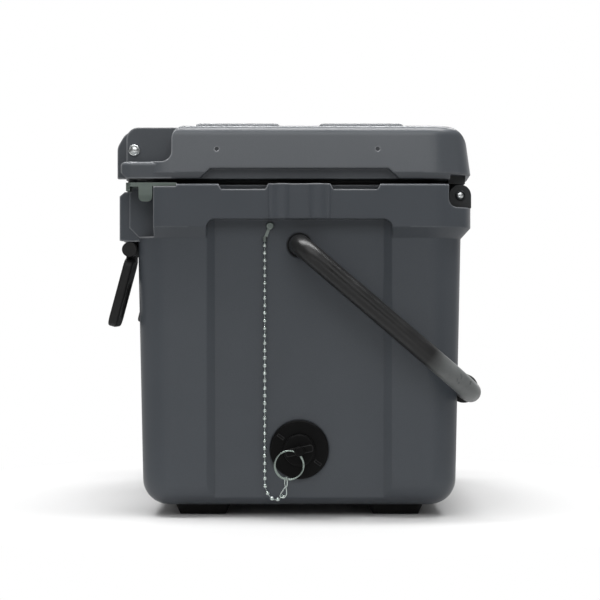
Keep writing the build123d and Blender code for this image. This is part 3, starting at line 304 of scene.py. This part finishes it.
def foam(name):
    """Cream insulation foam with open cells."""
    material, tree, shader = new_material(name)
    cells = noise(tree, 260.0, 4.0, 0.7)
    tree.links.new(ramp(tree, cells, (0.50, 0.42, 0.24), (0.80, 0.72, 0.50)), shader.inputs["Base Color"])
    shader.inputs["Roughness"].default_value = 0.9
    bump(tree, shader, [(cells, 0.4, 0.6 * MM)], 1.0 * MM)
    return material


# Each moulded plastic below has its outer edges painted paler as highlights
tub_plastic = moulded_plastic(
    "charcoal_tub", (0.052, 0.059, 0.0685), (0.058, 0.0655, 0.0755), highlight_and_fleck_colour=(0.30, 0.31, 0.325),
    highlight_strength=0.85, edge_width=2.0 * MM, rough=0.34, rounding=2.2 * MM, peel=0.03, specular=0.35, plain=tub_plain,
)
# Painted light: the lid's plastic is a lighter copy of the tub's, standing in for the extra top light on its
# leaning face
lid_plastic_painted_lighter = moulded_plastic(
    "charcoal_lid", (0.0605, 0.067, 0.0755), (0.067, 0.074, 0.083), highlight_and_fleck_colour=(0.30, 0.31, 0.325),
    highlight_strength=0.85, edge_width=2.0 * MM, rough=0.33, rounding=2.2 * MM, peel=0.015, specular=0.45, plain=lid_plain,
)
# Painted shade: the vent plugs get a darker copy of the shell plastic, standing in for the shade in their
# sunk dimples
vent_plastic_painted_dark = moulded_plastic(
    "charcoal_plug", (0.040, 0.044, 0.050), (0.050, 0.055, 0.062), highlight_and_fleck_colour=(0.15, 0.16, 0.17),
    highlight_strength=0.4, edge_width=0.5 * MM, rough=0.42, rounding=0.5 * MM, peel=0.10, specular=0.5,
)
black = moulded_plastic(
    "black_plastic", (0.0018, 0.0018, 0.0019), (0.0026, 0.0026, 0.0027), highlight_and_fleck_colour=(0.055, 0.056, 0.057),
    highlight_strength=0.75, edge_width=1.2 * MM, rough=0.42, rounding=1.0 * MM, peel=0.10, specular=0.1,
)
hinge_black = moulded_plastic(
    "hinge_plastic", (0.018, 0.0195, 0.0205), (0.023, 0.0245, 0.0255), highlight_and_fleck_colour=(0.06, 0.062, 0.066),
    highlight_strength=0.5, edge_width=0.8 * MM, rough=0.45, rounding=0.8 * MM, peel=0.12, specular=0.35,
)
latch_rubber = rubber("latch_rubber", (0.010, 0.010, 0.0102), (0.016, 0.016, 0.0163), 0.50, 1.2 * MM)
foot_rubber = rubber("foot_rubber", (0.0020, 0.0020, 0.0020), (0.0055, 0.0053, 0.0050), 0.62, 1.5 * MM)
grip_rubber = rubber("grip_rubber", (0.0070, 0.0070, 0.0070), (0.012, 0.012, 0.012), 0.55, 0.5 * MM)
seal_rubber = rubber("seal_rubber", (0.0080, 0.0080, 0.0080), (0.015, 0.015, 0.015), 0.55, 0.6 * MM)
plate_steel = steel(
    "plate_steel", (0.155, 0.188, 0.170), (0.222, 0.260, 0.240), 0.42, 0.8 * MM, (1.0, 0.04, 1.0),
)
tag_steel = steel("tag_steel", (0.17, 0.20, 0.185), (0.30, 0.34, 0.32), 0.40, 0.3 * MM, (1.0, 1.0, 0.3))
pin_steel = steel("pin_steel", (0.60, 0.62, 0.62), (0.70, 0.72, 0.72), 0.26, 0.4 * MM, (1.0, 0.2, 0.2), 0.03)
ring_steel = steel("ring_steel", (0.27, 0.33, 0.30), (0.36, 0.42, 0.385), 0.26, 0.1 * MM, (1.0, 1.0, 0.3))
# Painted shade: dark steel for the shaded outer part of a hinge pin's head
pin_painted_shade = steel("pin_painted_shade", (0.030, 0.032, 0.034), (0.055, 0.058, 0.06), 0.34, 0.3 * MM, (1.0, 0.3, 0.3))
chain_steel = steel("chain_steel", (0.62, 0.70, 0.66), (0.80, 0.87, 0.84), 0.28, 0.1 * MM, (1.0, 1.0, 0.3))
tube_black = coated_tube(
    "tube_black", (0.0100, 0.0101, 0.0103), (0.0135, 0.0136, 0.0138), 0.32, (0.140, 0.148, 0.147),
)
filler_foam = foam("insulation_foam")

finishes = {
    tub_plastic: ["tub_shell", "tub_liner"],
    lid_plastic_painted_lighter: ["lid_shell"],
    vent_plastic_painted_dark: ["lid_vent_plugs"],
    black: [
        "tub_fill_plug", "drain_fitting", "drain_plug", "plug_swivel",
        "bail_bushing_left", "bail_bushing_right",
    ],
    hinge_black: ["hinge_base_left", "hinge_base_right", "hinge_leaf_left", "hinge_leaf_right"],
    latch_rubber: ["latch_left", "latch_right"],
    foot_rubber: ["foot_front_left", "foot_front_right", "foot_rear_left", "foot_rear_right"],
    grip_rubber: ["bail_grip"],
    seal_rubber: ["drain_seal", "plug_seal", "lid_gasket"],
    plate_steel: ["lock_plate_left", "lock_plate_right"],
    tag_steel: ["chain_tag", "chain_screw"],
    pin_steel: [
        "hinge_pin_left", "hinge_pin_right", "latch_pin_left", "latch_pin_right", "foot_screws",
        "hinge_base_screws", "hinge_leaf_screws", "lock_plate_screws",
    ],
    chain_steel: ["ball_chain", "plug_ring", "chain_clip"],
    tube_black: ["bail_tube"],
    filler_foam: ["tub_foam", "lid_foam"],
}
for material, names in finishes.items():
    for name in names:
        data = nodes[name].data
        data.materials.clear()
        data.materials.append(material)


def place(name, mesh, material, body, slot, *replaced):
    """Puts a finished mesh into the scene as a piece of a body."""
    for polygon in mesh.polygons:
        polygon.use_smooth = True
    mesh.materials.append(material)
    piece = bpy.data.objects.new(name, mesh)
    bpy.context.scene.collection.objects.link(piece)
    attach(piece, body)
    if replaced:
        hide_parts(*replaced)
    return piece


def spline_points(route, resolution, closed=False):
    """Points along the smooth line that a route's control points draw."""
    curve = bpy.data.curves.new("route", "CURVE")
    curve.dimensions = "3D"
    spline = curve.splines.new("NURBS")
    spline.points.add(len(route) - 1)
    for point, place_at in zip(spline.points, route):
        point.co = (*place_at, 1)
    spline.order_u = 3
    spline.use_endpoint_u = not closed
    spline.use_cyclic_u = closed
    spline.resolution_u = resolution
    holder = bpy.data.objects.new("route", curve)
    bpy.context.scene.collection.objects.link(holder)
    bpy.context.view_layer.update()
    line = bpy.data.meshes.new_from_object(holder.evaluated_get(bpy.context.evaluated_depsgraph_get()))
    points = [vertex.co.copy() for vertex in line.vertices]
    bpy.data.objects.remove(holder)
    bpy.data.curves.remove(curve)
    bpy.data.meshes.remove(line)
    return points


def along(points, distance):
    """Place and direction on a line of points, at a distance from its start."""
    for here, there in zip(points, points[1:]):
        step = (there - here).length
        if distance <= step and step > 0:
            return here.lerp(there, distance / step), (there - here).normalized()
        distance -= step
    return points[-1], (points[-1] - points[-2]).normalized()


def turned(bm, profile, origin, axis, segments):
    """Adds a turned shape, from a profile of (distance along the axis, radius) pairs."""
    turn = axis.to_track_quat("Z", "Y").to_matrix()
    rings = []
    for height, radius in profile:
        count = segments if radius > 0 else 1
        angles = [2 * math.pi * i / segments for i in range(count)]
        rings.append([
            bm.verts.new(origin + turn @ Vector((radius * math.cos(angle), radius * math.sin(angle), height)))
            for angle in angles
        ])
    for lower, upper in zip(rings, rings[1:]):
        for i in range(segments):
            corners = []
            for ring, index in ((lower, i), (lower, i + 1), (upper, i + 1), (upper, i)):
                vertex = ring[index % len(ring)]
                if vertex not in corners:
                    corners.append(vertex)
            if len(corners) > 2:
                bm.faces.new(corners)


def finished(bm, name):
    """Turns worked faces into a mesh with its normals outward."""
    bmesh.ops.recalc_face_normals(bm, faces=bm.faces)
    mesh = bpy.data.meshes.new(name)
    bm.to_mesh(mesh)
    bm.free()
    return mesh


def wire(bm, points, radius, closed=False, sides=10):
    """Adds a round wire along a line of points."""
    count = len(points)
    rings = []
    side = None
    for i, here in enumerate(points):
        before = points[(i - 1) % count] if closed or i else here
        after = points[(i + 1) % count] if closed or i < count - 1 else here
        way = (after - before).normalized()
        if side is None:
            side = way.orthogonal().normalized()
        side = (side - way * side.dot(way)).normalized()
        other = way.cross(side)
        rings.append([
            bm.verts.new(here + radius * (
                side * math.cos(2 * math.pi * k / sides) + other * math.sin(2 * math.pi * k / sides)
            ))
            for k in range(sides)
        ])
    pairs = list(zip(rings, rings[1:]))
    if closed:
        pairs.append((rings[-1], rings[0]))
    for lower, upper in pairs:
        for k in range(sides):
            bm.faces.new((lower[k], lower[(k + 1) % sides], upper[(k + 1) % sides], upper[k]))
    if not closed:
        bm.faces.new(list(reversed(rings[0])))
        bm.faces.new(rings[-1])


# Camera
camera_data = bpy.data.cameras.new("camera")
camera_data.lens = camera_lens
camera_data.sensor_width = camera_sensor
camera = bpy.data.objects.new("camera", camera_data)
camera.location = (end_plane_x + camera_distance, camera_y, camera_z)
camera.rotation_euler = (math.radians(90), 0, math.radians(90))
bpy.context.scene.collection.objects.link(camera)
bpy.context.scene.camera = camera

# Bead chain: hollow-looking beads with a seam, joined by short pins
chain_line = spline_points(chain_route, 40)
line_length = sum((b - a).length for a, b in zip(chain_line, chain_line[1:]))
bm = bmesh.new()
bead_steps = 10
bead_count = int((line_length - bead_first) / bead_pitch) + 1
for i in range(bead_count):
    centre, way = along(chain_line, bead_first + i * bead_pitch)
    profile = []
    for step in range(bead_steps + 1):
        turn = math.pi * step / bead_steps
        radius = bead_radius * math.sin(turn)
        if step == bead_steps // 2:
            radius -= bead_waist
        profile.append((-bead_radius * math.cos(turn), max(radius, 0.0)))
    profile[0] = (profile[0][0], 0.0)
    profile[-1] = (profile[-1][0], 0.0)
    turned(bm, profile, centre, way, 14)
pin_points = [along(chain_line, line_length * i / 240)[0] for i in range(241)]
wire(bm, pin_points, bead_pin_radius, sides=6)
chain = bpy.data.objects.new("bead_chain", finished(bm, "bead_chain"))
for polygon in chain.data.polygons:
    polygon.use_smooth = True
chain.data.materials.append(chain_steel)
bpy.context.scene.collection.objects.link(chain)
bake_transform(chain)
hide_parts("ball_chain")

# Split ring: one wire wound nearly twice round
ring_low, ring_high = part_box("plug_ring")
ring_centre = (ring_low + ring_high) / 2
ring_radius = (ring_high.y - ring_low.y) / 2 - (ring_high.x - ring_low.x) / 2
bm = bmesh.new()
ring_points = []
ring_steps = 150
for i in range(ring_steps + 1):
    share = i / ring_steps
    turn = ring_start + 2 * math.pi * ring_turns * share
    shift = max(-1.0, min(1.0, (2 * share - 1) * 2.2)) * ring_wire
    spread = ring_spread * shift / ring_wire
    ring_y = ring_radius * math.cos(turn) + spread
    ring_z = ring_radius * math.sin(turn) + spread
    ring_points.append(Vector((shift, ring_y, ring_z)))
wire(bm, ring_points, ring_wire)
bmesh.ops.transform(
    bm, matrix=Matrix.Translation(ring_centre) @ Matrix.Scale(ring_flatness, 4, (1, 0, 0)), verts=bm.verts
)
place("split_ring", finished(bm, "split_ring"), ring_steel, "plug_carrier", "stainless_steel", "plug_ring")

# Wire clip: an oval link on the ring and a teardrop loop round the chain's last bead
clip_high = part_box("chain_clip")[1]
chain_end = Vector(chain_route[-1])
link_top = clip_high.z - clip_wire
link_x = ring_centre.x
link_y = ring_centre.y - 3.2 * MM
bm = bmesh.new()
link_dx = link_half * math.cos(link_turn)
link_dy = link_half * math.sin(link_turn)
link_bottom = link_top - 9.4 * MM
link_points = spline_points([
    (link_x - link_dx, link_y - link_dy, link_top - 0.6 * MM), (link_x, link_y, link_top + 0.4 * MM),
    (link_x + link_dx, link_y + link_dy, link_top - 0.6 * MM),
    (link_x + link_dx, link_y + link_dy, link_bottom + 1.4 * MM),
    (link_x, link_y, link_bottom - 0.4 * MM), (link_x - link_dx, link_y - link_dy, link_bottom + 1.4 * MM),
], 8, closed=True)
wire(bm, link_points, clip_wire, closed=True)
loop_top = link_bottom + 1.2 * MM
loop_points = spline_points([
    (link_x, link_y - 0.2 * MM, loop_top), (link_x - 0.3 * MM, link_y - 4.2 * MM, loop_top - 6.5 * MM),
    (chain_end.x, link_y - 6.6 * MM, chain_end.z - 0.4 * MM),
    (chain_end.x, link_y - 3.4 * MM, chain_end.z - 2.8 * MM),
    (chain_end.x, link_y + 0.3 * MM, chain_end.z - 0.6 * MM),
    (link_x, link_y + 0.8 * MM, loop_top - 6.0 * MM),
], 8, closed=True)
wire(bm, loop_points, clip_wire, closed=True)
clip_mesh = finished(bm, "wire_clip")
clip = place("wire_clip", clip_mesh, chain_steel, "plug_carrier", "stainless_steel", "chain_clip")

# Ribbed rubber grip on the bail
grip_low, grip_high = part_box("bail_grip")
grip_centre = (grip_low + grip_high) / 2
grip_radius = (grip_high.z - grip_low.z) / 2
grip_half = (grip_high.x - grip_low.x) / 2
profile = [(-grip_half, tube_radius), (-grip_half, grip_radius - grip_edge)]
for step in range(1, 6):
    turn = math.pi / 2 * step / 5
    profile.append((
        -grip_half + grip_edge * (1 - math.cos(turn)), grip_radius - grip_edge * (1 - math.sin(turn))
    ))
ribbed = grip_half - grip_plain_end
rib_count = int(2 * ribbed / grip_rib_pitch)
rib_steps = 6
for i in range(rib_count * rib_steps + 1):
    dip = grip_rib_depth * (0.5 - 0.5 * math.cos(2 * math.pi * i / rib_steps)) ** 2
    profile.append((-rib_count * grip_rib_pitch / 2 + i * grip_rib_pitch / rib_steps, grip_radius - dip))
profile += [(-along_x, radius) for along_x, radius in reversed(profile[:7])]
bm = bmesh.new()
turned(bm, profile, grip_centre, Vector((1, 0, 0)), 40)
bmesh.ops.holes_fill(bm, edges=[edge for edge in bm.edges if edge.is_boundary], sides=0)
place("ribbed_grip", finished(bm, "ribbed_grip"), grip_rubber, "bail", "grip_rubber", "bail_grip")


def pin_mesh(name, low, high, head_outward, shaft_radius, head_height):
    """Turned pin with a grooved head, along X; head_outward is 1 or -1."""
    centre = (low + high) / 2
    head_radius = (high.z - low.z) / 2
    tail = low.x if head_outward > 0 else high.x
    length = high.x - low.x
    top = length
    base = length - head_height
    groove = 0.55 * head_height
    disc = 0.62 * head_radius
    rim = 0.80 * head_radius
    soft = 0.25 * head_height
    profile = [
        (0, 0), (0, shaft_radius - soft), (soft, shaft_radius), (base, shaft_radius),
        (base, head_radius - soft / 2), (base + soft / 2, head_radius),
        (top - 2 * soft, head_radius), (top - soft / 2, head_radius - soft / 2),
        (top, head_radius - 1.5 * soft), (top - soft / 2, rim), (top - groove, rim - soft / 2),
        (top - groove, disc + soft / 2), (top - soft / 2, disc), (top, disc - soft / 2), (top, 0),
    ]
    bm = bmesh.new()
    turned(bm, profile, Vector((tail, centre.y, centre.z)), Vector((head_outward, 0, 0)), 32)
    return finished(bm, name)


for side, end_name in ((1, "right"), (-1, "left")):
    for kind, body, (shaft_radius, head_height) in (
        ("latch_pin", "lid", latch_pin_size), ("hinge_pin", "tub", hinge_pin_size),
    ):
        node_name = f"{kind}_{end_name}"
        low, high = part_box(node_name)
        mesh = pin_mesh(f"turned_{node_name}", low, high, side, shaft_radius, head_height)
        place(f"turned_{node_name}", mesh, pin_steel, body, "stainless_steel", node_name)
        # Painted shade: outside its bright middle, a hinge pin's head gets dark steel, standing in for the
        # shade round its end
        if kind == "hinge_pin":
            mesh.materials.append(pin_painted_shade)
            middle_y, middle_z = (low.y + high.y) / 2, (low.z + high.z) / 2
            unshaded_radius = pin_unshaded_share * (high.z - low.z) / 2
            for polygon in mesh.polygons:
                away = math.hypot(polygon.center.y - middle_y, polygon.center.z - middle_z)
                polygon.material_index = int(away > unshaded_radius)

# Floor: pale near the cooler, fading to plain white further out
floor_mesh = bpy.data.meshes.new("floor")
floor_corners = [
    (side_x * floor_size, side_y * floor_size, 0) for side_x, side_y in ((-1, -1), (1, -1), (1, 1), (-1, 1))
]
floor_mesh.from_pydata(floor_corners, [], [(0, 1, 2, 3)])
floor = bpy.data.objects.new("floor", floor_mesh)
bpy.context.scene.collection.objects.link(floor)
floor_material, tree, shader = new_material("floor")
shader.inputs["Base Color"].default_value = (floor_shade, floor_shade, floor_shade, 1)
shader.inputs["Roughness"].default_value = 0.6
shader.inputs["Specular IOR Level"].default_value = 0.1
position = add_node(tree, "ShaderNodeNewGeometry")
reach = add_node(tree, "ShaderNodeVectorMath", operation="LENGTH")
tree.links.new(position.outputs["Position"], reach.inputs[0])
fade = ramp(tree, reach.outputs["Value"], 0.0, 1.0, *floor_fade)
white = add_node(tree, "ShaderNodeEmission", {"Color": (1, 1, 1, 1)})
rays = add_node(tree, "ShaderNodeLightPath")
bounced = combine(tree, "MAXIMUM", rays.outputs["Is Diffuse Ray"], rays.outputs["Is Glossy Ray"])
floor_level = ramp(tree, bounced, 1.0, floor_fill, 0.0, 1.0)
tree.links.new(floor_level, white.inputs["Strength"])
blend = add_node(tree, "ShaderNodeMixShader")
tree.links.new(fade, blend.inputs[0])
tree.links.new(shader.outputs[0], blend.inputs[1])
tree.links.new(white.outputs[0], blend.inputs[2])
tree.links.new(blend.outputs[0], tree.nodes["Material Output"].inputs["Surface"])
floor.data.materials.append(floor_material)

# Room: white to the camera, softer as light, dimmer on the photographer's side
world = bpy.data.worlds.new("room")
bpy.context.scene.world = world
world.use_nodes = True
tree = world.node_tree
background = tree.nodes["Background"]
rays = add_node(tree, "ShaderNodeLightPath")
direction = add_node(tree, "ShaderNodeTexCoord")
split = add_node(tree, "ShaderNodeSeparateXYZ")
tree.links.new(direction.outputs["Generated"], split.inputs[0])
glossy_room = ramp(tree, split.outputs["X"], 1.0, room_dark_side, -1.0, -0.45)
glossy_level = add_node(tree, "ShaderNodeMix")
tree.links.new(rays.outputs["Is Glossy Ray"], glossy_level.inputs[0])
glossy_level.inputs[2].default_value = room_fill
tree.links.new(glossy_room, glossy_level.inputs[3])
seen = combine(tree, "MAXIMUM", rays.outputs["Is Camera Ray"], rays.outputs["Is Transmission Ray"])
level = add_node(tree, "ShaderNodeMix")
tree.links.new(seen, level.inputs[0])
tree.links.new(glossy_level.outputs[0], level.inputs[2])
level.inputs[3].default_value = 1.0
tree.links.new(level.outputs[0], background.inputs["Strength"])
background.inputs["Color"].default_value = (1, 1, 1, 1)


def softbox(name, location, target, width, height, watts):
    """Large soft area light aimed at a point."""
    data = bpy.data.lights.new(name, "AREA")
    data.shape = "RECTANGLE"
    data.size = width
    data.size_y = height
    data.energy = watts
    lamp = bpy.data.objects.new(name, data)
    lamp.location = location
    lamp.rotation_euler = (Vector(target) - Vector(location)).to_track_quat("-Z", "Y").to_euler()
    bpy.context.scene.collection.objects.link(lamp)


middle = (0.0, 0.0, 0.2)
lid_edge = (0.2, 0.0, 0.39)
softbox("overhead", (0.28, 0.0, 2.2), (0.28, 0.0, 0.4), 0.6, 2.6, 70)
softbox("back_strip", (-1.03, 0.0, 1.71), lid_edge, 2.4, 0.16, 26)
softbox("front_light", (2.0, 0.0, 1.6), middle, 2.0, 1.2, 17)
softbox("front_low", (1.5, 0.0, 0.06), middle, 2.0, 0.1, 1.2)
softbox("left_light", (0.45, -1.8, 0.55), middle, 1.2, 1.6, 0.6)
softbox("right_light", (0.45, 1.8, 0.55), middle, 1.2, 1.6, 0.6)

bpy.context.scene.view_settings.view_transform = "Standard"
